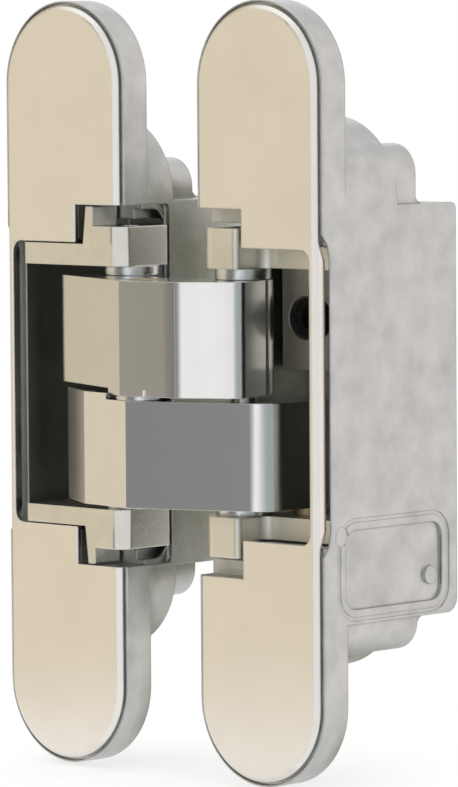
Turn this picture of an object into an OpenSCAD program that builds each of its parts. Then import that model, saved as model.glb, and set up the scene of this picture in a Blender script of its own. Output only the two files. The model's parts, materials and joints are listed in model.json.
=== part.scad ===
// Concealed door hinge, shown fully open: a fixed leaf on the left, a door leaf on the
// right, and two arms that cross like scissors between them.
// X runs across the leaves, Y goes into the door frame, Z is up along the hinge axis.
// The origin is the middle of the fixed leaf, on the seat behind its flange.

/* [Leaves] */
// Length of a leaf, end to end
leaf_l = 130; // [126:1:140]
// Width of a leaf
leaf_w = 28; // [28:0.5:32]
// Gap between the two leaves when the hinge is fully open
leaf_gap = 17; // [16.6:0.1:17.4]
// Depth from the front of the cover to the seat behind the flange
seat_y = 6.7; // [6:0.1:8]
// Depth from the front of the cover to the back of the box
box_d = 34.2; // [33.6:0.1:37]
// Half height of the box of the fixed leaf
frame_box_z = 31.1; // [31:0.1:33]
// How far the box of the door leaf reaches down
door_box_low = 37.6; // [33:0.1:38]

/* [Covers] */
// Thickness of a cover plate
cover_t = 1; // [0.8:0.1:1.4]
// Bevel round the front edge of a cover plate
cover_bevel = 0.7; // [0.3:0.1:0.7]
// How far a cover plate stands inside the outline of its flange
cover_inset = 0.8; // [0.6:0.05:0.9]
// How far back the lip on the outer side of a cover plate reaches
cover_lip = 2.4; // [1.8:0.1:2.6]
// Half height of the shallow step of the notch
step_z = 30.6; // [30.5:0.1:30.8]
// Half height of the deep step of the notch
notch_z = 24.2; // [24.1:0.1:24.4]

/* [Linkage] */
// Distance from a leaf's pivot to the middle plane of the open linkage
pivot_x = 12.9; // [12.8:0.05:13]
// Depth of a leaf's pivot behind the cover front
pivot_y = 6.5; // [6.4:0.05:6.6]
// How far the centre pin stands in front of the cover front
centre_out = 4; // [3.9:0.05:4.1]
// Angle of the long outer face of an arm
face_a = 21.37; // [21:0.05:21.7]
// Length of the long outer face of an arm
face_l = 22.2; // [22:0.05:22.3]
// Radius of the rounded end of the long face
end_r = 5.5; // [5.3:0.05:5.6]

/* [Pins] */
// Radius of the pivot pins and of the centre pin
pin_r = 2.25; // [2:0.05:2.3]
// Radius of the slide pins
slide_pin_r = 1.6; // [1.5:0.05:1.7]
// Radius of the bushes on the slide pins
slide_bush_r = 2.6; // [2.5:0.05:2.6]
// Running clearance of a pin in its bush
run_gap = 0.05; // [0.03:0.01:0.08]

/* [Hidden] */
$fn = 64;

far = 60;                      // longer than any cut needs
near_x = leaf_gap / 2;         // inner edge of a leaf
outer_x = near_x + leaf_w;     // outer edge of a leaf
mid_x = near_x + leaf_w / 2;   // middle line of a leaf
leaf_r = leaf_w / 2;
end_z = leaf_l / 2 - leaf_r;   // centre of the round ends
room_x = near_x + 1.7;         // inner face of the gap side wall

// The notch of a cover, as distances from the middle of the gap
step_x = 19.3;
notch_x = outer_x - 2.2;
notch_r = 2;
lip_t = 0.8;
lip_low_z = 22.1;              // the lip is full up to here
lip_high_z = 25;               // and ends here
lip_up = 0.3;                  // its middle is a little above that of the leaf
seat_low_z = 22.4;             // the same heights of its seat in the housing
seat_high_z = 26.4;
seat_corner = [2.3, 24.7];
seat_gap = 0.4;
seat_skin = 0.3;               // inside this skin the seat is deeper by seat_deeper
seat_deeper = 1.4;

// Walls of a housing
side_wall = 1.3;
flange_chamfer = 0.15;
seam_inset = [0.3, 1.1];       // groove round the edge of the cover
seam_y = 1.9;
box_top_r = 1.1;
box_low_r = 2.5;
bar_room_z = 24.8;             // half height of the room for the end bars
block_room_z = 28.1;           // half height of the room for the pivot blocks
block_room_y = 13.5;
room_y = 30.3;                 // floor that the carriage is clamped to
mouth_y = 12;                  // depth of the opening in the gap side wall
mouth_r = 0.5;
door_pocket_y = 4.3;           // depth of the shallow pocket behind the step of the notch
frame_pocket_y = 6.5;

// The fixed leaf's opening is longer, wider at the front, and has a deep slot behind it
frame_mouth_z = 29.8;
frame_mouth_r = 3;
frame_front_x = 9.6;
frame_front_y = 12.2;
frame_front_r = 1;
frame_slot_x = 11.5;
frame_slot_y = 28;

// Screw posts of a housing: a wide step and a round boss
top_post_z = 31.7;
low_post_z = 32.2;
frame_post_y = 13;
door_post_y = 19.5;
boss_y = 24.6;
boss_r = 5;
boss_fillet = 2;
fillet_half = 4.8;
frame_boss = [20, 33];
door_boss_top = [31, 36.1];
door_boss_low = [31, 38.4];
boss_hole_r = 1.9;
screw_z = 52;                  // outer wood screws, on the middle line
screw_r = 2.4;
screw_head_r = 4.6;
peg_z = 43;
peg_r = 1.5;
peg_y = 4.5;

// Sunk panel on the outer side of the door leaf, with a dot in it, a round recess at its
// corner and a line round it
panel_y = [6.3, 30.3];
panel_z = [-35.2, -22];
panel_depth = 0.5;
panel_r = 2.5;
dot_at = [27.5, -30.9];
dot_r = 1.5;
recess_at = [5.4, -22.9];
recess_r = 1.6;
recess_depth = 0.2;
line_gap = [1.2, 1.9];
line_depth = 0.15;

// Linkage. Its middle plane is not the middle of the gap, because the carriages are
// set to one side. All its points are given from that plane.
link_x = 0.8;
pivot = [-pivot_x, pivot_y];
centre = [0, -centre_out];
corner_1 = [-20.2, -1.8];
corner_2 = [-10.6, -7.6];
corner_3 = [0.7, -9.3];
corner_4 = corner_3 + face_l * [cos(face_a), sin(face_a)];
end_c = corner_4 + end_r * [-sin(face_a), cos(face_a)];
slide = [20.5, 14];
slide_boss_r = 3.9;
fold_a = 90 + face_a;                       // turn of an arm in its leaf, open to closed
centre_ratio = (2 * fold_a - 180) / fold_a; // turn at the centre for each degree of that
centre_r = 5;
eye_r = 5;

// Heights in the linkage
low_z = -19.15;                // outer face of the lower arm
high_z = 18.65;                // outer face of the upper arm
low_body = 17.85;              // height of the lower arm at its slide end
low_full = 18.9;               // and at its pivot end
high_body = 18.1;
high_full = 19.15;
washer_r = 5;
hub_r = 6.1;                   // of the upper arm's hub
hub_gap = 0.3;
pad_a = 113;                   // the high pad of an arm lies beyond this angle
axial_gap = 0.03;
bar_in_z = 20.6;               // inner faces of the end bars
frame_bar_z = 23.95;           // and their outer faces
door_bar_z = 24.5;
frame_drop = 0.3;              // the bars and blocks of the fixed leaf are set down by this
bush_r = 3.2;
collar_r = 4.7;
slide_pin_in = 9;              // length of a slide pin inside its arm
slide_pin_end = frame_bar_z - 0.3;

// Carriages
bar_end = 32;
bar_corner_r = 2;
block_in = 9.35;               // gap side face of the blocks
wall_in = 11.2;                // gap side of what lies behind the gap side wall
wall_step_y = 11.5;
frame_block_out = 18.1;
frame_ear_out = 17.4;          // the blocks of the fixed leaf lean in to here at ear_z
door_block_out = 17.4;
door_block_r = 1;
block_z = 27.3;
block_y = 12;
block_r = 2.4;
ear_z = 30.3;
ear_in = 15.85;
ear_y = 6;
door_bar_y = 6.8;              // the bars of the door leaf are set back
bar_fillet = 2.3;
column_out = 22.6;
column_y = 18;
column_low = 3;
web_out = 21;
web_y = 28.3;
back_y = 30.2;
slot_gap = 0.15;
slot_steps = 24;

// Clamp screws
clamp_x = 17.8;                // from the middle of the gap
clamp_z = 11.7;
clamp_slot_x = [16.3, 18.7];
clamp_head_r = 3.5;
clamp_head_h = 4;
clamp_head_y = 18.4;
clamp_r = 2;
clamp_key = 3.5;
clamp_key_h = 2.4;
clamp_tip_y = 33;
clamp_gap = 0.15;

zinc = [0.72, 0.72, 0.70];
nickel = [0.84, 0.80, 0.72];
satin = [0.66, 0.66, 0.66];
steel = [0.78, 0.79, 0.80];
bronze = [0.70, 0.62, 0.45];
black = [0.08, 0.09, 0.09];

function turn(a, v) = [cos(a) * v.x - sin(a) * v.y, sin(a) * v.x + cos(a) * v.y];

// Place of the slide pin during the fold, t = 0 open and t = 1 closed
function slide_at(t) = pivot + turn(-fold_a * t, centre - pivot)
    + turn(-fold_a * t * (1 - centre_ratio), [-slide.x, slide.y] - centre);
function slide_side(t) = let (d = slide_at(t + 0.01) - slide_at(t - 0.01)) [-d.y, d.x] / norm(d);

// Places a shape on the frame of the part
module in_frame() translate([mid_x, -seat_y, 0]) children();
module in_link() in_frame() translate([link_x, 0, 0]) children();
module flip_x() mirror([1, 0, 0]) children();
// Height counted inwards from the outer face of an arm
module in_low() in_link() translate([0, 0, low_z]) children();
module in_high() in_link() flip_x() translate([0, 0, high_z]) mirror([0, 0, 1]) children();

// Outline in X and Z, given depth from y0 to y1
module deep(y0, y1) translate([0, y1, 0]) rotate([90, 0, 0]) linear_extrude(y1 - y0) children();
// Outline in X and Y, given height from z0 to z1
module tall(z0, z1) translate([0, 0, z0]) linear_extrude(z1 - z0) children();
// Outline in Y and Z, given width from x0 to x1
module wide(x0, x1) translate([x0, 0, 0]) rotate([90, 0, 90]) linear_extrude(x1 - x0) children();
module block(x, y, z) translate([x[0], y[0], z[0]]) cube([x[1] - x[0], y[1] - y[0], z[1] - z[0]]);
module rod(p, r, z0, z1) translate([p.x, p.y, z0]) cylinder(r = r, h = z1 - z0);
module rod_y(x, z, r, y0, y1) translate([x, y0, z]) rotate([-90, 0, 0]) cylinder(r = r, h = y1 - y0);
module ring(p, r0, r1, z0, z1) difference() {
    rod(p, r1, z0, z1);
    rod(p, r0, z0 - 1, z1 + 1);
}

// Two circles and the band between their outer tangents
module link2d(c1, r1, c2, r2) {
    along = (c2 - c1) / norm(c2 - c1);
    across = [-along.y, along.x];
    s = (r1 - r2) / norm(c2 - c1);
    c = sqrt(1 - s * s);
    left = across * c + along * s;
    right = -across * c + along * s;
    translate(c1) circle(r1);
    translate(c2) circle(r2);
    polygon([c1 + r1 * left, c2 + r2 * left, c2 + r2 * right, c1 + r1 * right]);
}

// A rectangle from p to q with round corners
module round_rect(p, q, r) {
    translate([p.x + r, p.y]) square([q.x - p.x - 2 * r, q.y - p.y]);
    translate([p.x, p.y + r]) square([q.x - p.x, q.y - p.y - 2 * r]);
    for (x = [p.x + r, q.x - r], y = [p.y + r, q.y - r]) translate([x, y]) circle(r);
}

// Flange or cover with a bevel round its front edge
module bevelled_leaf(inset, y0, y1, bevel) {
    r = leaf_r - inset;
    for (s = [-1, 1]) translate([mid_x, y0, s * end_z]) rotate([-90, 0, 0]) {
        cylinder(r1 = r - bevel, r2 = r, h = bevel, $fn = 96);
        translate([0, 0, bevel]) cylinder(r = r, h = y1 - y0 - bevel, $fn = 96);
    }
    tall(-end_z, end_z) translate([mid_x, 0]) polygon([
        [-r + bevel, y0], [r - bevel, y0], [r, y0 + bevel],
        [r, y1], [-r, y1], [-r, y0 + bevel]
    ]);
}

// Outline of a leaf, seen from the front
module leaf_outline(inset) {
    for (s = [-1, 1]) translate([mid_x, s * end_z]) circle(leaf_r - inset, $fn = 96);
    translate([near_x + inset, -end_z]) square([leaf_w - 2 * inset, 2 * end_z]);
}

// Notch of a cover, seen from the front
module notch_outline() {
    translate([-1, -step_z]) square([step_x + 1, 2 * step_z]);
    round_rect([-1, -notch_z], [notch_x, notch_z], notch_r);
}

// Side view of the lip of a cover, in Y and Z
module lip_side() translate([0, lip_up]) polygon([
    [cover_t - 0.3, -lip_high_z], [cover_t, -lip_high_z], [cover_lip, -lip_low_z],
    [cover_lip, lip_low_z], [cover_t, lip_high_z], [cover_t - 0.3, lip_high_z]
]);

// Side view of the lip's seat in the housing, moved back by deeper
module lip_seat(deeper) translate([deeper, lip_up]) polygon(concat(
    [[-2, -seat_high_z], [cover_t, -seat_high_z], [seat_corner.x, -seat_corner.y]],
    [for (s = [-1, 1]) [cover_lip + seat_gap, s * seat_low_z]],
    [seat_corner, [cover_t, seat_high_z], [-2, seat_high_z]]
));

module cover() {
    difference() {
        union() {
            bevelled_leaf(cover_inset, 0, cover_t, cover_bevel);
            wide(outer_x - cover_inset - lip_t, outer_x - cover_inset) lip_side();
        }
        deep(-1, far) notch_outline();
    }
    for (s = [-1, 1]) rod_y(mid_x, s * peg_z, peg_r, cover_t - 0.1, peg_y);
}

// Upright half of a housing's box in Y and Z: it reaches up to z and its rear edge has radius r
module box_side(z, r) {
    translate([cover_t + 1, 0]) square([box_d - cover_t - 1, z - r]);
    translate([cover_t + 1, 0]) square([box_d - cover_t - 1 - r, z]);
    translate([box_d - r, z - r]) circle(r);
}

// Upper screw post of a housing: a wide step to depth post_y and a boss at a place in X and Z
module screw_post(post_y, post_z, at, box_z) {
    deep(seat_y - 1, post_y) intersection() {
        translate([mid_x, post_z]) circle(leaf_r, $fn = 96);
        translate([near_x, 0]) square([leaf_w, far]);
    }
    deep(seat_y - 1, boss_y) {
        translate(at) circle(boss_r);
        translate([at.x - boss_r, box_z - 6]) square([2 * boss_r, at.y - box_z + 6]);
    }
    wide(at.x - fillet_half, at.x + fillet_half) translate([boss_y, box_z]) difference() {
        translate([-1, -1]) square(boss_fillet + 1);
        translate([boss_fillet, boss_fillet]) circle(boss_fillet);
    }
}

module screw_hole(z) {
    rod_y(mid_x, z, screw_r, -1, far);
    translate([mid_x, cover_t - 0.01, z]) rotate([-90, 0, 0])
        cylinder(r1 = screw_head_r, r2 = screw_r, h = screw_head_r - screw_r);
}

// One housing, as the door leaf has it. Its box reaches down to low and its bosses are given.
module housing(low, post_y, boss_top, boss_low, pocket_y) {
    pocket_x = step_x + 0.1;
    difference() {
        union() {
            bevelled_leaf(0, cover_t, seat_y, flange_chamfer);
            wide(near_x, outer_x) {
                box_side(frame_box_z, box_top_r);
                mirror([0, 1]) box_side(low, box_low_r);
            }
            screw_post(post_y, top_post_z, boss_top, frame_box_z);
            mirror([0, 0, 1]) screw_post(post_y, low_post_z, boss_low, low);
        }
        // room for the carriage and the arms
        block([room_x, outer_x - side_wall], [-1, room_y], [-bar_room_z, bar_room_z]);
        block([room_x, pocket_x], [-1, block_room_y], [-block_room_z, block_room_z]);
        block([near_x - 1, pocket_x], [-1, pocket_y], [-step_z, step_z]);
        // opening in the gap side wall
        wide(near_x - 1, room_x + 1)
            round_rect([-1, -block_room_z], [mouth_y, block_room_z], mouth_r);
        // seat for the lip of the cover, and the groove round the cover's edge
        wide(outer_x - side_wall - 1, outer_x + 1) lip_seat(0);
        wide(outer_x - side_wall - 1, outer_x - seat_skin) lip_seat(seat_deeper);
        deep(0, seam_y) difference() {
            leaf_outline(seam_inset[0]);
            leaf_outline(seam_inset[1]);
        }
        for (s = [-1, 1]) {
            screw_hole(s * screw_z);
            rod_y(mid_x, s * peg_z, peg_r, 0, peg_y + 0.5);
        }
        rod_y(boss_top.x, boss_top.y, boss_hole_r, -1, far);
        rod_y(boss_low.x, -boss_low.y, boss_hole_r, -1, far);
    }
}

module frame_housing() color(zinc) in_frame() flip_x() difference() {
    housing(frame_box_z, frame_post_y, frame_boss, frame_boss, frame_pocket_y);
    block([room_x, frame_slot_x], [0, frame_slot_y], [-frame_mouth_z, frame_mouth_z]);
    wide(near_x - 1, room_x + 1)
        round_rect([-2 * frame_mouth_r, -frame_mouth_z], [mouth_y, frame_mouth_z], frame_mouth_r);
    wide(near_x - 1, frame_front_x)
        round_rect([-2 * frame_front_r, -step_z], [frame_front_y, step_z], frame_front_r);
    rod_y(clamp_x, -clamp_z, clamp_r, room_y - 1, clamp_tip_y);
}

// Outline of the side panel in Y and Z, wider by d all round
module panel(d) round_rect(
    [panel_y[0] - d, panel_z[0] - d], [panel_y[1] + d, panel_z[1] + d], panel_r + d);

module door_housing() color(zinc) in_frame() {
    difference() {
        housing(door_box_low, door_post_y, door_boss_top, door_boss_low, door_pocket_y);
        rod_y(clamp_x, clamp_z, clamp_r, room_y - 1, clamp_tip_y);
        wide(outer_x - panel_depth, outer_x + 1) panel(0);
        wide(outer_x - recess_depth, outer_x + 1) translate(recess_at) circle(recess_r);
        wide(outer_x - line_depth, outer_x + 1) difference() {
            panel(line_gap[1]);
            panel(line_gap[0]);
        }
    }
    wide(outer_x - panel_depth - 0.2, outer_x) translate(dot_at) circle(dot_r);
}

module frame_cover() color(nickel) in_frame() flip_x() cover();
module door_cover() color(nickel) in_frame() cover();

// Plan of an end bar
module bar_plan(front) {
    translate([-bar_end, front]) square([bar_end - block_in - block_r, wall_step_y - front]);
    translate([-bar_end, front]) square([bar_end - wall_in, back_y - bar_corner_r - front]);
    translate([-bar_end + bar_corner_r, front]) square([bar_end - bar_corner_r - wall_in, back_y - front]);
    translate([-bar_end + bar_corner_r, back_y - bar_corner_r]) circle(bar_corner_r);
}

// Plan of a pivot block, rounded at its front gap side corner and by out_r at the other
module block_plan(out, out_r) difference() {
    union() {
        translate([-out, 0]) square([out - block_in - block_r, block_y]);
        translate([-out, block_r]) square([out - block_in, wall_step_y - block_r]);
        translate([-block_in - block_r, block_r]) circle(block_r);
        translate([-out, block_r]) square([out - wall_in, block_y - block_r]);
    }
    if (out_r > 0) translate([-out, 0]) difference() {
        translate([-1, -1]) square(out_r + 1);
        translate([out_r, out_r]) circle(out_r);
    }
}

// Slot for a slide pin, along its way through the fold
module slide_slot(r) {
    band = r - 0.02;           // a little narrower than the round ends
    steps = [for (i = [0 : slot_steps]) i / slot_steps];
    back = [for (i = [slot_steps : -1 : 0]) i / slot_steps];
    polygon(concat(
        [for (t = steps) slide_at(t) + band * slide_side(t)],
        [for (t = back) slide_at(t) - band * slide_side(t)]
    ));
    for (t = [0, 1]) translate(slide_at(t)) circle(r);
}

module clamp_slot(r) link2d([-clamp_slot_x[0], -clamp_z], r, [-clamp_slot_x[1], -clamp_z], r);

// Carriage as the fixed leaf has it: the slot in the upper bar and the screw in the lower
// half. The bars begin at the depth front. The blocks reach out to block_out, and to
// ear_out at the height of the ears. All but the outer faces of the bars is set down by drop.
module carriage(front, bar_z, drop, block_out, out_r, ear_out, ears) difference() {
    union() {
        for (s = [0, 1]) mirror([0, 0, s]) {
            down = s == 0 ? -drop : drop;
            tall(bar_in_z + down, bar_z) {
                bar_plan(front);
                if (front > 0) difference() {
                    translate([-block_out - bar_fillet, front - bar_fillet]) square(bar_fillet + 0.5);
                    translate([-block_out - bar_fillet, front - bar_fillet]) circle(bar_fillet);
                }
            }
            intersection() {
                union() {
                    tall(bar_in_z + down, block_z + down) block_plan(block_out, out_r);
                    if (ears) tall(block_z - 1, ear_z) translate([-block_out, 0])
                        square([block_out - ear_in, ear_y]);
                }
                deep(-1, far) polygon([
                    [0, 0], [-block_out, 0], [-block_out, bar_z], [-ear_out, ear_z], [0, ear_z]
                ]);
            }
        }
        block([-web_out, -wall_in], [web_y, back_y], [-bar_z, bar_z]);
        block([-column_out, -wall_in], [column_y, back_y], [-bar_z, -column_low]);
    }
    tall(bar_in_z - 1, bar_z + 0.01) slide_slot(slide_bush_r + slot_gap);
    rod(pivot, pin_r, -block_z - 1, block_z + 1);
    deep(0, clamp_head_y + clamp_head_h) clamp_slot(clamp_head_r + clamp_gap);
    deep(0, far) clamp_slot(clamp_r + clamp_gap);
}

module frame_carriage() color(nickel) in_link()
    carriage(0, frame_bar_z, frame_drop, frame_block_out, 0, frame_ear_out, true);
module door_carriage() color(nickel) in_link() rotate([0, 180, 0])
    carriage(door_bar_y, door_bar_z, 0, door_block_out, door_block_r, door_block_out, false);

module clamp_screw() difference() {
    union() {
        rod_y(clamp_x, -clamp_z, clamp_head_r, clamp_head_y, clamp_head_y + clamp_head_h);
        rod_y(clamp_x, -clamp_z, clamp_r, clamp_head_y + 1, clamp_tip_y);
    }
    translate([clamp_x, clamp_head_y - 1, -clamp_z]) rotate([-90, 0, 0])
        cylinder(d = clamp_key / cos(30), h = clamp_key_h + 1, $fn = 6);
}
module frame_clamp_screw() color(black) in_frame() flip_x() clamp_screw();
module door_clamp_screw() color(black) in_frame() mirror([0, 0, 1]) clamp_screw();

// Room that the other leaf's pivot pin needs in an arm during the fold
module pin_room() {
    reach = norm([pivot_x, pivot_y] - centre);
    wide_r = pin_r + 0.35;
    translate([pivot_x, pivot_y]) circle(wide_r);
    intersection() {
        translate(centre) difference() {
            circle(reach + wide_r, $fn = 128);
            circle(reach - wide_r, $fn = 128);
        }
        polygon([centre, centre + 3 * ([pivot_x, pivot_y] - centre), [0, far]]);
    }
}

// Plan of the lower arm: eye at the fixed leaf, slide end at the door leaf
module arm_plan() difference() {
    union() {
        link2d(pivot, eye_r, centre, centre_r);
        link2d(centre, centre_r, end_c, end_r);
        link2d(end_c, end_r, slide, slide_boss_r);
        polygon([corner_3, corner_2, corner_1, pivot - [eye_r, 0], pivot, centre]);
        polygon([corner_3, corner_4, end_c, centre]);
    }
    pin_room();
}

// Arm with its higher part at the pivot end. hub adds that height round the centre too.
module arm(body, full, hub) difference() {
    union() {
        tall(0, body) arm_plan();
        tall(body - 1, full) difference() {
            intersection() {
                arm_plan();
                polygon([centre, centre + far * [cos(pad_a), sin(pad_a)], [-far, far], [-far, -far], [0, -far]]);
            }
            translate(centre) circle(hub_r + hub_gap);
        }
        if (hub) tall(body - 1, full) intersection() {
            arm_plan();
            translate(centre) circle(hub_r);
        }
    }
    rod(pivot, bush_r, -1, full + 1);
    rod(centre, hub ? bush_r : pin_r, -1, full + 1);
    rod(slide, slide_pin_r, -1, slide_pin_in);
}

module lower_arm() color(satin) in_low() arm(low_body, low_full, false);
module upper_arm() color(satin) in_high() arm(high_body, high_full, true);
module lower_arm_bush() color(bronze) in_low() ring(pivot, pin_r + run_gap, bush_r, 0, low_full);
module upper_arm_bush() color(bronze) in_high() ring(pivot, pin_r + run_gap, bush_r, 0, high_full);
module centre_bush() color(bronze) in_high() ring(centre, pin_r + run_gap, bush_r, 0, high_full);
module centre_pin() color(steel) in_link() rod(centre, pin_r, low_z, high_z - 0.1);
module centre_washer() color(steel) in_link()
    ring(centre, pin_r, washer_r, low_z + low_body, high_z - high_full - axial_gap);

// Slide pin and its bush, standing out from the outer face of an arm by out
module slide_pin(out) rod(slide, slide_pin_r, -out, slide_pin_in);
module slide_bush(out) ring(slide, slide_pin_r, slide_bush_r, -out, 0);
module lower_slide_pin() color(steel) in_low() slide_pin(slide_pin_end + low_z);
module upper_slide_pin() color(steel) in_high() slide_pin(slide_pin_end - high_z);
module lower_slide_bush() color(bronze) in_low() slide_bush(slide_pin_end + low_z);
module upper_slide_bush() color(bronze) in_high() slide_bush(slide_pin_end - high_z);

module pivot_pin() rod(pivot, pin_r, -block_z + 0.2, block_z - 0.2);
module low_spacer(drop) ring(pivot, pin_r, collar_r, -bar_in_z - drop, low_z - axial_gap);
module high_spacer(drop) ring(pivot, pin_r, collar_r, high_z + axial_gap, bar_in_z - drop);
module frame_pivot_pin() color(steel) in_link() translate([0, 0, -frame_drop]) pivot_pin();
module door_pivot_pin() color(steel) in_link() flip_x() pivot_pin();
module frame_lower_washer() color(steel) in_link() low_spacer(frame_drop);
module frame_upper_collar() color(steel) in_link() high_spacer(frame_drop);
module door_upper_washer() color(steel) in_link() flip_x() high_spacer(0);
module door_lower_collar() color(steel) in_link() flip_x() low_spacer(0);

frame_housing();
frame_cover();
frame_clamp_screw();
frame_carriage();
frame_pivot_pin();
frame_lower_washer();
frame_upper_collar();
lower_arm();
lower_arm_bush();
lower_slide_pin();
lower_slide_bush();
centre_pin();
centre_washer();
upper_arm();
upper_arm_bush();
centre_bush();
upper_slide_pin();
upper_slide_bush();
door_carriage();
door_pivot_pin();
door_upper_washer();
door_lower_collar();
door_housing();
door_cover();
door_clamp_screw();
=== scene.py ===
# %% [markdown]
# # A concealed door hinge
# The hinge stands fully open. Two long leaves with round ends carry deep boxes of die-cast
# zinc, and two arms cross between them like scissors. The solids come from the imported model
# and are never moved here. This lesson gives them soft edges, metal finishes, a studio and
# a camera.

# %% Load the solids
import json
import math

import bpy
from mathutils import Matrix, Vector


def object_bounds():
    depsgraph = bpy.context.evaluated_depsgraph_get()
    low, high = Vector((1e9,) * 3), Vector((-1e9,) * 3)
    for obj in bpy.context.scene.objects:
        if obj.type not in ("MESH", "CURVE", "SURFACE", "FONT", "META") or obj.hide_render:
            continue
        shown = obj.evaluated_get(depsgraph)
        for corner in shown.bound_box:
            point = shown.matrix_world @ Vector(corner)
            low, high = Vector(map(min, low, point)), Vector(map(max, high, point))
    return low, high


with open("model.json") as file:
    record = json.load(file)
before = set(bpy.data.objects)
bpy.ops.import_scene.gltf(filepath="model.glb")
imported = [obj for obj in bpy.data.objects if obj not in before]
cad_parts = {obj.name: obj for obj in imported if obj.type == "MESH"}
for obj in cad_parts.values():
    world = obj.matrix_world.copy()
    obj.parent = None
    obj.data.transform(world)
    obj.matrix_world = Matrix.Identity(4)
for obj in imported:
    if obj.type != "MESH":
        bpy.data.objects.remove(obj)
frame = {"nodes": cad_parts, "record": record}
cad_low, cad_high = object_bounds()
nodes = frame["nodes"]


def box_in_mm(low, high):
    return [round(1000 * (h - l), 1) for l, h in zip(low, high)]


print("solids:", len(nodes), "box in mm:", box_in_mm(cad_low, cad_high))

# %% [markdown]
# ## The camera
# The photograph looks at the hinge from the right and a little from above, through a long
# lens. The place, the two angles and the small roll were found from the outlines of the two
# leaves. A camera looks along its own -Z, so its matrix is made of three axes: right, up
# and backwards.

# %% Camera
camera_place = Vector((0.63292, -0.64000, 0.06342))
turn_to_right = math.radians(43.1675)
look_down = math.radians(4.1721)
roll = math.radians(-0.3989)
lens_mm = 241.03
sensor_mm = 36


def camera_axes():
    ahead = Vector((-math.sin(turn_to_right) * math.cos(look_down),
                    math.cos(turn_to_right) * math.cos(look_down), -math.sin(look_down)))
    right = Vector((math.cos(turn_to_right), math.sin(turn_to_right), 0))
    up = right.cross(ahead)
    return (math.cos(roll) * right + math.sin(roll) * up,
            -math.sin(roll) * right + math.cos(roll) * up, -ahead)


camera_data = bpy.data.cameras.new("camera")
camera_data.lens = lens_mm
camera_data.sensor_width = sensor_mm
camera = bpy.data.objects.new("camera", camera_data)
turned = Matrix(camera_axes()).transposed().to_4x4()
camera.matrix_world = Matrix.Translation(camera_place) @ turned
bpy.context.scene.collection.objects.link(camera)
bpy.context.scene.camera = camera
print("camera at", [round(v, 3) for v in camera_place], "lens", lens_mm)

# %% [markdown]
# ## The studio
# Polished and plated metal has hardly any colour of its own: it shows what stands around
# it. Here that is a world whose light changes with the compass direction: a warm screen on
# the left, a dark gap in front, a white screen on the right and an even wall behind. The
# camera looks at the white part of that wall, and the metal sees it too. Steeply above and
# below, the screens end and the light is even.

# %% World
scene = bpy.context.scene
scene.view_settings.view_transform = "Standard"

# Compass direction in degrees, 0 towards the front and 90 to the right, and its light.
screens = [
    (-180, (0.45, 0.43, 0.42)), (-157, (0.45, 0.45, 0.45)), (-150, (1.00, 1.00, 1.00)),
    (-124, (1.00, 1.00, 1.00)), (-116, (0.52, 0.48, 0.38)), (-86, (0.67, 0.60, 0.46)),
    (-60, (0.81, 0.73, 0.58)), (-37, (0.88, 0.79, 0.64)), (-29, (0.33, 0.31, 0.27)),
    (-10, (0.22, 0.225, 0.22)), (2, (0.23, 0.245, 0.25)), (8, (0.50, 0.51, 0.52)),
    (15, (1.06, 1.07, 1.08)), (27, (1.02, 1.03, 1.04)), (38, (0.76, 0.78, 0.80)),
    (48, (0.52, 0.55, 0.57)), (60, (0.40, 0.44, 0.46)), (90, (0.40, 0.45, 0.46)),
    (112, (0.95, 0.90, 0.88)), (155, (1.02, 0.95, 0.93)), (172, (0.60, 0.57, 0.55)),
]
light_above = 1.1
light_below = 0.6
# Sine of the height at which the screens begin to give way, and at which they have ended.
screens_fade_from, screens_end = 0.55, 0.85


def math_node(tree, operation, *values):
    node = tree.nodes.new("ShaderNodeMath")
    node.operation = operation
    for socket, value in zip(node.inputs, values):
        if isinstance(value, (int, float)):
            socket.default_value = value
        else:
            tree.links.new(value, socket)
    return node.outputs[0]


def make_world():
    world = bpy.data.worlds.new("studio")
    world.use_nodes = True
    tree = world.node_tree
    tree.nodes.clear()
    place = tree.nodes.new("ShaderNodeTexCoord")
    parts = tree.nodes.new("ShaderNodeSeparateXYZ")
    tree.links.new(place.outputs["Generated"], parts.inputs[0])
    toward_front = math_node(tree, "MULTIPLY", parts.outputs["Y"], -1.0)
    angle = math_node(tree, "ARCTAN2", parts.outputs["X"], toward_front)
    along = math_node(tree, "MULTIPLY_ADD", angle, 0.5 / math.pi, 0.5)
    ramp = tree.nodes.new("ShaderNodeValToRGB")
    tree.links.new(along, ramp.inputs["Fac"])
    marks = ramp.color_ramp.elements
    while len(marks) > 1:
        marks.remove(marks[-1])
    for i, (degrees, light) in enumerate(screens):
        mark = marks[0] if i == 0 else marks.new(degrees / 360 + 0.5)
        mark.position = degrees / 360 + 0.5
        mark.color = (*light, 1)
    height = math_node(tree, "ABSOLUTE", parts.outputs["Z"])
    above = math_node(tree, "GREATER_THAN", parts.outputs["Z"], 0.0)
    level = math_node(tree, "MULTIPLY_ADD", above, light_above - light_below, light_below)
    overhead = tree.nodes.new("ShaderNodeMapRange")
    overhead.inputs["From Min"].default_value = screens_fade_from
    overhead.inputs["From Max"].default_value = screens_end
    tree.links.new(height, overhead.inputs["Value"])
    even = tree.nodes.new("ShaderNodeMix")
    even.data_type = "RGBA"
    tree.links.new(level, even.inputs["B"])
    tree.links.new(overhead.outputs[0], even.inputs["Factor"])
    tree.links.new(ramp.outputs["Color"], even.inputs["A"])
    light = tree.nodes.new("ShaderNodeBackground")
    tree.links.new(even.outputs["Result"], light.inputs["Color"])
    out = tree.nodes.new("ShaderNodeOutputWorld")
    tree.links.new(light.outputs[0], out.inputs["Surface"])
    return world


scene.world = make_world()
print("world with", len(screens), "screens")

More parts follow.
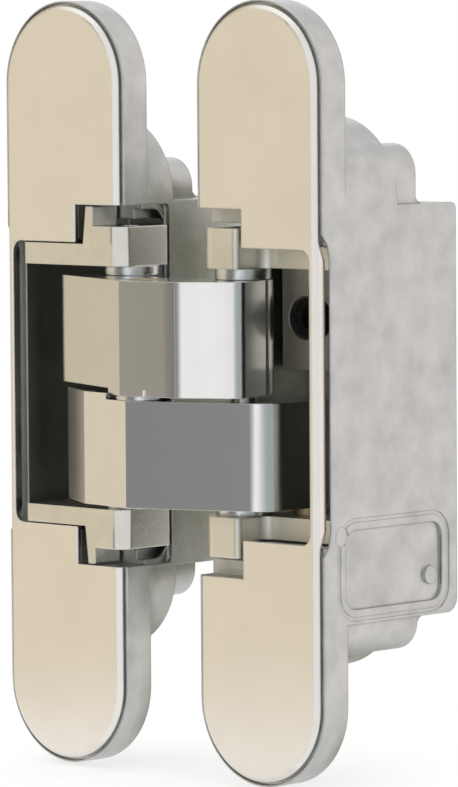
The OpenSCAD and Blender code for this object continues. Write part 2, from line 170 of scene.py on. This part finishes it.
# %% [markdown]
# ## The floor
# The hinge stands on a small pale disc that fades out into the white wall behind it. The
# disc is matt, so it keeps a soft shadow at the foot of the leaves. It is small because an
# upright face of the hinge would otherwise mirror the floor in place of the screens.

# %% Floor
floor_radius = 0.15
floor_fade_from = 0.04
floor_drop = 0.0005      # how far it lies below the hinge
floor_tone = 0.62
floor_glow = 0.55


def make_floor(z, sides=64):
    angles = [2 * math.pi * i / sides for i in range(sides)]
    rim = [(floor_radius * math.cos(a), floor_radius * math.sin(a), z) for a in angles]
    mesh = bpy.data.meshes.new("floor")
    mesh.from_pydata(rim, [], [tuple(range(sides))])
    floor = bpy.data.objects.new("floor", mesh)
    scene.collection.objects.link(floor)
    material = bpy.data.materials.new("pale_floor")
    material.use_nodes = True
    tree = material.node_tree
    shader = tree.nodes["Principled BSDF"]
    shader.inputs["Base Color"].default_value = (floor_tone, floor_tone, floor_tone, 1)
    shader.inputs["Roughness"].default_value = 1.0
    shader.inputs["Specular IOR Level"].default_value = 0.0
    # the camera and the metal see the floor paler than it lights the hinge
    ray = tree.nodes.new("ShaderNodeLightPath")
    seen = math_node(tree, "ADD", ray.outputs["Is Camera Ray"], ray.outputs["Is Glossy Ray"])
    seen = math_node(tree, "ADD", seen, ray.outputs["Is Transmission Ray"])
    glow = tree.nodes.new("ShaderNodeEmission")
    glow.inputs["Strength"].default_value = floor_glow
    add = tree.nodes.new("ShaderNodeAddShader")
    mix = tree.nodes.new("ShaderNodeMixShader")
    tree.links.new(shader.outputs[0], add.inputs[0])
    tree.links.new(glow.outputs[0], add.inputs[1])
    tree.links.new(seen, mix.inputs[0])
    tree.links.new(shader.outputs[0], mix.inputs[1])
    tree.links.new(add.outputs[0], mix.inputs[2])
    # away from the hinge the disc fades out
    distance = tree.nodes.new("ShaderNodeVectorMath")
    distance.operation = "LENGTH"
    tree.links.new(tree.nodes.new("ShaderNodeTexCoord").outputs["Object"], distance.inputs[0])
    fade = tree.nodes.new("ShaderNodeMapRange")
    fade.interpolation_type = "SMOOTHSTEP"
    fade.inputs["From Min"].default_value = floor_fade_from
    fade.inputs["From Max"].default_value = floor_radius
    tree.links.new(distance.outputs["Value"], fade.inputs["Value"])
    clear = tree.nodes.new("ShaderNodeBsdfTransparent")
    faded = tree.nodes.new("ShaderNodeMixShader")
    tree.links.new(fade.outputs[0], faded.inputs[0])
    tree.links.new(mix.outputs[0], faded.inputs[1])
    tree.links.new(clear.outputs[0], faded.inputs[2])
    tree.links.new(faded.outputs[0], tree.nodes["Material Output"].inputs["Surface"])
    floor.data.materials.append(material)


make_floor(cad_low.z - floor_drop)
print("floor at", round(1000 * (cad_low.z - floor_drop), 2), "mm")

# %% [markdown]
# ## Soft edges
# No real casting or pressing has a knife edge: a radius of a few tenths of a millimetre
# catches the light as a thin bright line. The imported meshes are split along their
# edges, so a Weld modifier joins them first. Then a Bevel modifier rounds the edges sharper
# than 35 degrees. It may not overlap itself, so it does most on the small turned pieces and
# hardly anything on the large castings, whose soft edges come from a node in their
# finishes. Last, weighted normals keep the large flat faces flat.

# %% Round the edges
join_within_mm = 0.002
sharp_degrees = 35
area_weight = 100      # above 50, large faces count for more


def soften(node_name, radius_mm, segments=2):
    piece = nodes[node_name]
    weld = piece.modifiers.new("join", "WELD")
    weld.merge_threshold = join_within_mm / 1000
    bevel = piece.modifiers.new("edges", "BEVEL")
    bevel.limit_method = "ANGLE"
    bevel.angle_limit = math.radians(sharp_degrees)
    bevel.width = radius_mm / 1000
    bevel.segments = segments
    bevel.harden_normals = False
    bevel.use_clamp_overlap = True
    level = piece.modifiers.new("flat_faces", "WEIGHTED_NORMAL")
    level.weight = area_weight
    level.keep_sharp = True


edge_radius_mm = {
    "frame_housing": 0.35, "door_housing": 0.35, "frame_cover": 0.3, "door_cover": 0.3,
    "frame_carriage": 0.25, "door_carriage": 0.25, "lower_arm": 0.22, "upper_arm": 0.22,
}
small_radius_mm = 0.15
for name in nodes:
    soften(name, edge_radius_mm.get(name, small_radius_mm))
print("edges rounded on", len(nodes), "pieces")

# %% [markdown]
# ## Effects that the finishes share
# Five groups are built once and placed in the finishes with values of their own. The first is
# a cloudy mottle, at the scale of a casting's flow marks. The second is fine grain, the tiny
# pits that make plating satin. The third is painted shade: it darkens the colour in narrow
# gaps and hollows, where little light reaches. The fourth turns the light on both sides of a
# pressed corner, as polishing leaves it: softer than the sharp edge of the solid. The fifth
# turns the light on a full round as if it had been pressed flat to one direction.

# %% Shader groups
mottle_detail, mottle_roughness = 6, 0.6
grain_detail = 3
# Open part of the sky, and how free of painted shade the metal is there.
shade_at_opening = [(0.12, 1.0), (0.30, 0.0), (0.42, 0.0), (0.7, 1.0)]
# Y in metres where the painted shade begins and where it is full. The back of the flange is at
# 0.
shade_depth = (-0.003, 0.001)
shade_samples = 8
corner_depth = 0.0025      # metres on both sides of the face that a soft corner acts on
facet_from, facet_full = 0.78, 0.86      # cosine of the angle to the middle of the round


def new_group(name, inputs, outputs):
    group = bpy.data.node_groups.new(name, "ShaderNodeTree")
    for label, kind, value in inputs:
        socket = group.interface.new_socket(label, in_out="INPUT", socket_type=kind)
        socket.default_value = value
    for label, kind in outputs:
        group.interface.new_socket(label, in_out="OUTPUT", socket_type=kind)
    start = group.nodes.new("NodeGroupInput")
    end = group.nodes.new("NodeGroupOutput")
    return group, start, end


def object_place(tree):
    return tree.nodes.new("ShaderNodeTexCoord").outputs["Object"]


def make_mottle():
    group, start, end = new_group(
        "casting_mottle",
        [("Scale", "NodeSocketFloat", 120.0),
         ("Dark", "NodeSocketColor", (0.5, 0.5, 0.5, 1)),
         ("Light", "NodeSocketColor", (0.8, 0.8, 0.8, 1)),
         ("Contrast", "NodeSocketFloat", 1.0)],
        [("Color", "NodeSocketColor"), ("Mask", "NodeSocketFloat")])
    noise = group.nodes.new("ShaderNodeTexNoise")
    noise.inputs["Detail"].default_value = mottle_detail
    noise.inputs["Roughness"].default_value = mottle_roughness
    group.links.new(object_place(group), noise.inputs["Vector"])
    group.links.new(start.outputs["Scale"], noise.inputs["Scale"])
    centred = math_node(group, "SUBTRACT", noise.outputs["Fac"], 0.5)
    mask = math_node(group, "MULTIPLY_ADD", centred, start.outputs["Contrast"], 0.5)
    clamp = group.nodes.new("ShaderNodeClamp")
    group.links.new(mask, clamp.inputs["Value"])
    mix = group.nodes.new("ShaderNodeMix")
    mix.data_type = "RGBA"
    group.links.new(clamp.outputs[0], mix.inputs["Factor"])
    group.links.new(start.outputs["Dark"], mix.inputs["A"])
    group.links.new(start.outputs["Light"], mix.inputs["B"])
    group.links.new(mix.outputs["Result"], end.inputs["Color"])
    group.links.new(clamp.outputs[0], end.inputs["Mask"])
    return group


def make_grain():
    group, start, end = new_group(
        "satin_grain",
        [("Scale", "NodeSocketFloat", 4000.0), ("Stretch", "NodeSocketVector", (1, 1, 1))],
        [("Height", "NodeSocketFloat")])
    scaled = group.nodes.new("ShaderNodeVectorMath")
    scaled.operation = "MULTIPLY"
    group.links.new(object_place(group), scaled.inputs[0])
    group.links.new(start.outputs["Stretch"], scaled.inputs[1])
    noise = group.nodes.new("ShaderNodeTexNoise")
    noise.inputs["Detail"].default_value = grain_detail
    group.links.new(scaled.outputs[0], noise.inputs["Vector"])
    group.links.new(start.outputs["Scale"], noise.inputs["Scale"])
    group.links.new(noise.outputs["Fac"], end.inputs["Height"])
    return group


def make_painted_gap_shade():
    group, start, end = new_group(
        "painted_shade_in_gaps",
        [("Color", "NodeSocketColor", (0.6, 0.6, 0.6, 1)),
         ("Shade", "NodeSocketColor", (0.4, 0.4, 0.3, 1)),
         ("Reach", "NodeSocketFloat", 0.03)],
        [("Color", "NodeSocketColor")])
    # painted shade: where ambient occlusion finds little open sky, the colour is multiplied by
    # the shade tone
    opening = group.nodes.new("ShaderNodeAmbientOcclusion")
    opening.samples = shade_samples
    group.links.new(start.outputs["Reach"], opening.inputs["Distance"])
    clear = group.nodes.new("ShaderNodeValToRGB")
    ramp = clear.color_ramp
    for i, (open_part, unshaded_part) in enumerate(shade_at_opening):
        mark = ramp.elements[i] if i < 2 else ramp.elements.new(open_part)
        mark.position = open_part
        mark.color = (unshaded_part, unshaded_part, unshaded_part, 1)
    group.links.new(opening.outputs["AO"], clear.inputs["Fac"])
    # there is no painted shade on the front, and all of it behind the flange
    depth = group.nodes.new("ShaderNodeSeparateXYZ")
    group.links.new(object_place(group), depth.inputs[0])
    behind = group.nodes.new("ShaderNodeMapRange")
    behind.inputs["From Min"].default_value = shade_depth[0]
    behind.inputs["From Max"].default_value = shade_depth[1]
    group.links.new(depth.outputs["Y"], behind.inputs["Value"])
    shade_amount = math_node(group, "SUBTRACT", 1.0, clear.outputs["Color"])
    shaded = math_node(group, "MULTIPLY", shade_amount, behind.outputs[0])
    unshaded = math_node(group, "SUBTRACT", 1.0, shaded)
    darker = group.nodes.new("ShaderNodeMix")
    darker.data_type = "RGBA"
    darker.blend_type = "MULTIPLY"
    darker.inputs["Factor"].default_value = 1.0
    group.links.new(start.outputs["Color"], darker.inputs["A"])
    group.links.new(start.outputs["Shade"], darker.inputs["B"])
    mix = group.nodes.new("ShaderNodeMix")
    mix.data_type = "RGBA"
    group.links.new(unshaded, mix.inputs["Factor"])
    group.links.new(darker.outputs["Result"], mix.inputs["A"])
    group.links.new(start.outputs["Color"], mix.inputs["B"])
    group.links.new(mix.outputs["Result"], end.inputs["Color"])
    return group


def vector_math(tree, operation, *values):
    node = tree.nodes.new("ShaderNodeVectorMath")
    node.operation = operation
    for socket, value in zip(node.inputs, values):
        if isinstance(value, tuple):
            socket.default_value = value
        else:
            tree.links.new(value, socket)
    return node.outputs["Value" if operation == "DOT_PRODUCT" else "Vector"]


def make_soft_corner():
    group, start, end = new_group(
        "soft_corner",
        [("Corner", "NodeSocketVector", (0, 0, 0)),
         ("Along", "NodeSocketVector", (1, 0, 0)),
         ("Before", "NodeSocketFloat", 0.002),
         ("After", "NodeSocketFloat", 0.002),
         ("Slope", "NodeSocketFloat", 0.2)],
        [("Height", "NodeSocketFloat")])
    offset = vector_math(group, "SUBTRACT", object_place(group), start.outputs["Corner"])
    along = vector_math(group, "DOT_PRODUCT", offset, start.outputs["Along"])
    wider = math_node(group, "SUBTRACT", start.outputs["After"], start.outputs["Before"])
    past = math_node(group, "GREATER_THAN", along, 0.0)
    width = math_node(group, "MULTIPLY_ADD", past, wider, start.outputs["Before"])
    outward = vector_math(group, "CROSS_PRODUCT", start.outputs["Along"], (0.0, 0.0, 1.0))
    away = math_node(group, "ABSOLUTE", vector_math(group, "DOT_PRODUCT", offset, outward))
    near = math_node(group, "LESS_THAN", away, corner_depth)
    # a parabola that starts level at the width and has the wanted slope at the corner
    distance = math_node(group, "ABSOLUTE", along)
    left = math_node(group, "MAXIMUM", math_node(group, "SUBTRACT", width, distance), 0.0)
    fall = math_node(group, "DIVIDE", math_node(group, "MULTIPLY", left, left), width)
    curve = math_node(group, "MULTIPLY", math_node(group, "SUBTRACT", width, fall), 0.5)
    curve = math_node(group, "MULTIPLY", curve, start.outputs["Slope"])
    group.links.new(math_node(group, "MULTIPLY", curve, near), end.inputs["Height"])
    return group


def turn_normal(tree, normal, old_space, new_space):
    node = tree.nodes.new("ShaderNodeVectorTransform")
    node.vector_type = "NORMAL"
    node.convert_from = old_space
    node.convert_to = new_space
    tree.links.new(normal, node.inputs[0])
    return vector_math(tree, "NORMALIZE", node.outputs[0])


def make_pressed_facet():
    group, start, end = new_group(
        "pressed_facet",
        [("Normal", "NodeSocketVector", (0, 0, 0)),
         ("Middle", "NodeSocketVector", (0, -1, 0)),
         ("Facet", "NodeSocketVector", (0, -1, 0))],
        [("Normal", "NodeSocketVector")])
    own = turn_normal(group, start.outputs["Normal"], "WORLD", "OBJECT")
    turned = vector_math(group, "DOT_PRODUCT", own, start.outputs["Middle"])
    share = group.nodes.new("ShaderNodeMapRange")
    share.inputs["From Min"].default_value = facet_from
    share.inputs["From Max"].default_value = facet_full
    group.links.new(turned, share.inputs["Value"])
    mix = group.nodes.new("ShaderNodeMix")
    mix.data_type = "VECTOR"
    group.links.new(share.outputs[0], mix.inputs["Factor"])
    group.links.new(own, mix.inputs["A"])
    group.links.new(start.outputs["Facet"], mix.inputs["B"])
    pressed = turn_normal(group, mix.outputs["Result"], "OBJECT", "WORLD")
    group.links.new(pressed, end.inputs["Normal"])
    return group


mottle_group = make_mottle()
grain_group = make_grain()
gap_shade_group = make_painted_gap_shade()
corner_group = make_soft_corner()
facet_group = make_pressed_facet()
groups = [mottle_group, grain_group, gap_shade_group, corner_group, facet_group]
print("groups:", [group.name for group in groups])

# %% [markdown]
# ## Finishes
# Each finish is one Principled shader. The mottle gives its colour and changes its
# roughness a little, and the grain gives it a very fine bump. A Bevel node turns the normal
# near each edge, so that the edge shows as if it were rounded.

# %% Finish maker
shade_reach = 0.03      # metres over which a gap counts as narrow and gets painted shade
edge_samples = 6


def facing(degrees):
    return (math.sin(math.radians(degrees)), -math.cos(math.radians(degrees)), 0)


def place_group(tree, group, values):
    node = tree.nodes.new("ShaderNodeGroup")
    node.node_tree = group
    for label, value in values.items():
        node.inputs[label].default_value = value
    return node


def bumped(tree, normal, height, distance_mm, strength):
    node = tree.nodes.new("ShaderNodeBump")
    node.inputs["Strength"].default_value = strength
    node.inputs["Distance"].default_value = distance_mm / 1000
    tree.links.new(height, node.inputs["Height"])
    tree.links.new(normal, node.inputs["Normal"])
    return node.outputs["Normal"]


def gap_shaded_color(tree, color, gap_shade):
    shaded = place_group(tree, gap_shade_group, {"Shade": (*gap_shade, 1), "Reach": shade_reach})
    tree.links.new(color, shaded.inputs["Color"])
    return shaded.outputs["Color"]


def edge_normal(tree, edge_mm):
    edge = tree.nodes.new("ShaderNodeBevel")
    edge.samples = edge_samples
    edge.inputs["Radius"].default_value = edge_mm / 1000
    return edge.outputs["Normal"]


def pressed_normal(tree, normal, middle_degrees, facet_degrees):
    pressed = place_group(tree, facet_group, {"Middle": facing(middle_degrees),
                                              "Facet": facing(facet_degrees)})
    tree.links.new(normal, pressed.inputs["Normal"])
    return pressed.outputs["Normal"]


def cornered_normal(tree, normal, corner):
    (x, y), degrees, before, after, slope = corner
    along = math.radians(degrees)
    placed = place_group(tree, corner_group, {
        "Corner": (x / 1000, y / 1000, 0), "Along": (math.cos(along), math.sin(along), 0),
        "Before": before / 1000, "After": after / 1000, "Slope": slope})
    # the group's height is in metres, so the bump takes it at full size
    return bumped(tree, normal, placed.outputs["Height"], 1000, 1.0)


def metal(name, dark, light, roughness, spread, mottle_scale, contrast=1.6, metallic=1.0,
          grain_scale=3000.0, stretch=(1, 1, 1), bump=0.05, bump_mm=0.02, wave=0.0, gap_shade=None,
          corners=(), edge_mm=0.2, facet=None):
    material = bpy.data.materials.new(name)
    material.use_nodes = True
    tree = material.node_tree
    shader = tree.nodes["Principled BSDF"]
    shader.inputs["Metallic"].default_value = metallic
    mottle = place_group(tree, mottle_group, {"Scale": mottle_scale, "Dark": (*dark, 1),
                                              "Light": (*light, 1), "Contrast": contrast})
    color, mask = mottle.outputs["Color"], mottle.outputs["Mask"]
    # painted shade darkens the colour in narrow gaps and hollows
    if gap_shade:
        color = gap_shaded_color(tree, color, gap_shade)
    tree.links.new(color, shader.inputs["Base Color"])
    rough = math_node(tree, "MULTIPLY_ADD", mask, -spread, roughness + spread / 2)
    tree.links.new(rough, shader.inputs["Roughness"])
    grain = place_group(tree, grain_group, {"Scale": grain_scale, "Stretch": stretch})
    height = math_node(tree, "MULTIPLY_ADD", mask, wave, grain.outputs["Height"])
    normal = edge_normal(tree, edge_mm)
    if facet:
        normal = pressed_normal(tree, normal, *facet)
    normal = bumped(tree, normal, height, bump_mm, bump)
    for corner in corners:
        normal = cornered_normal(tree, normal, corner)
    tree.links.new(normal, shader.inputs["Normal"])
    return material


# %% [markdown]
# ## The finishes
# The housings are dull zinc. The covers, carriages and arms are plated. The turned pieces
# are steel and bronze, and the clamp screws black. The numbers after the two tones of a
# finish are its roughness, how far that varies, and the scale of its mottle.

# %% All finishes
# For each soft corner: its place in mm, its direction in degrees, its width in mm before and
# after the corner, and the slope at the corner.
upper_corners = [((33.9, -14.3), 19.8, 2.4, 1.2, 0.2), ((43.5, -8.5), 68.0, 1.2, 1.2, 0.6),
                 ((43.5, -8.5), 31.0, 7.0, 0.5, 0.12)]

finishes = {
    # the zinc gets painted shade, an olive darkening, in its narrow gaps
    "zinc": metal("die_cast_zinc", (0.52, 0.535, 0.525), (0.68, 0.69, 0.68), 0.42, 0.16, 170.0,
                  contrast=1.8, bump=0.40, bump_mm=0.05, grain_scale=1400.0, wave=0.7,
                  gap_shade=(0.33, 0.34, 0.25), edge_mm=0.4, facet=(47, 33)),
    "nickel_plate": metal("satin_nickel_plate", (0.82, 0.79, 0.745), (0.86, 0.83, 0.785),
                          0.24, 0.05, 90.0, bump=0.12, edge_mm=0.6, facet=(47, 37)),
    "nickel": metal("satin_nickel_casting", (0.82, 0.79, 0.70), (0.90, 0.87, 0.78),
                    0.45, 0.08, 260.0, bump=0.18, edge_mm=0.35),
    # the frame carriage has the same plating as the door carriage; its darker tone is painted
    # shade
    "nickel_frame": metal("satin_nickel_pressed_shaded", (0.70, 0.68, 0.62), (0.78, 0.76, 0.70),
                          0.28, 0.08, 260.0, bump=0.18, edge_mm=0.35, facet=(47, 31)),
    "satin": metal("satin_arm", (0.78, 0.77, 0.75), (0.82, 0.81, 0.79), 0.19, 0.03, 200.0,
                   bump=0.10),
    "satin_upper": metal("satin_upper_arm", (0.78, 0.77, 0.75), (0.82, 0.81, 0.79),
                         0.19, 0.03, 200.0, bump=0.10, corners=upper_corners),
    "steel": metal("turned_steel", (0.66, 0.67, 0.68), (0.78, 0.79, 0.80), 0.24, 0.08, 400.0,
                   stretch=(1, 1, 8)),
    "bronze": metal("sintered_bronze", (0.42, 0.33, 0.20), (0.62, 0.50, 0.32),
                    0.42, 0.12, 900.0),
    "black_oxide": metal("black_oxide", (0.012, 0.013, 0.015), (0.05, 0.05, 0.055),
                         0.38, 0.15, 700.0, metallic=0.6),
}
for slot_name, material in finishes.items():
    print(slot_name, "->", material.name)

# %% [markdown]
# ## Dress the solids
# The record names one material slot for each piece, so the finish is looked up there. Two
# pieces have a finish of their own, because their corners are softened in it; the frame
# carriage's finish is also a darker copy of the door carriage's plating, as painted shade.

# %% Give each piece its finish
own_finish = {"upper_arm": "satin_upper", "frame_carriage": "nickel_frame"}
for part in frame["record"]["subparts"]:
    piece = nodes[part["node"]]
    finish = finishes[own_finish.get(part["node"], part["material_slot"])]
    if not piece.material_slots:
        piece.data.materials.append(finish)
    for material_slot in piece.material_slots:
        material_slot.material = finish

# %% [markdown]
# ## Update
# The view layer is updated, so that the modifiers on the solids take effect.

# %% Update the view layer
bpy.context.view_layer.update()
